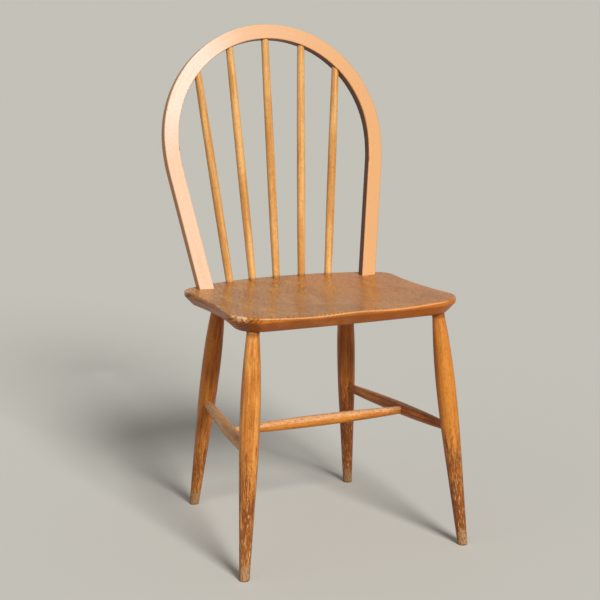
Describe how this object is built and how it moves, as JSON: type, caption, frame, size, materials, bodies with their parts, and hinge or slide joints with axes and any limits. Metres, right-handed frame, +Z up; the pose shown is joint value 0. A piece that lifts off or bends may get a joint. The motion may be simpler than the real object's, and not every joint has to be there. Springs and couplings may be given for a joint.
{
  "type": "windsor chair",
  "caption": "Hoop back wooden dining chair: bent hoop with turned sticks, saddled solid seat, splayed turned legs and H shaped stretchers.",
  "frame": {"origin": "on the floor under the middle of the chair's outer box", "axes": "+Z up; -Y is the front of the chair; +X is the right side as seen from the front"},
  "size_m": [0.4284, 0.4336, 0.8896],
  "materials": {
    "seat_elm": "satin lacquered elm, worn at the corners",
    "leg_beech": "satin lacquered turned beech, worn pale at the feet",
    "stretcher_beech": "satin lacquered turned beech, worn on top",
    "stick_beech": "satin lacquered turned beech",
    "hoop_beech": "satin lacquered steam bent beech, pale",
    "wedge_beech": "bare end grain beech"
  },
  "bodies": {
    "root": {"seat_board_left": "seat_elm", "seat_board_centre": "seat_elm", "seat_board_right": "seat_elm", "front_left_leg": "leg_beech", "front_right_leg": "leg_beech", "rear_left_leg": "leg_beech", "rear_right_leg": "leg_beech", "left_stretcher": "stretcher_beech", "right_stretcher": "stretcher_beech", "cross_stretcher": "stretcher_beech", "back_stick_far_left": "stick_beech", "back_stick_left": "stick_beech", "back_stick_middle": "stick_beech", "back_stick_right": "stick_beech", "back_stick_far_right": "stick_beech", "back_hoop": "hoop_beech", "hoop_wedge_left": "wedge_beech", "hoop_wedge_right": "wedge_beech"}
  },
  "joints": []
}
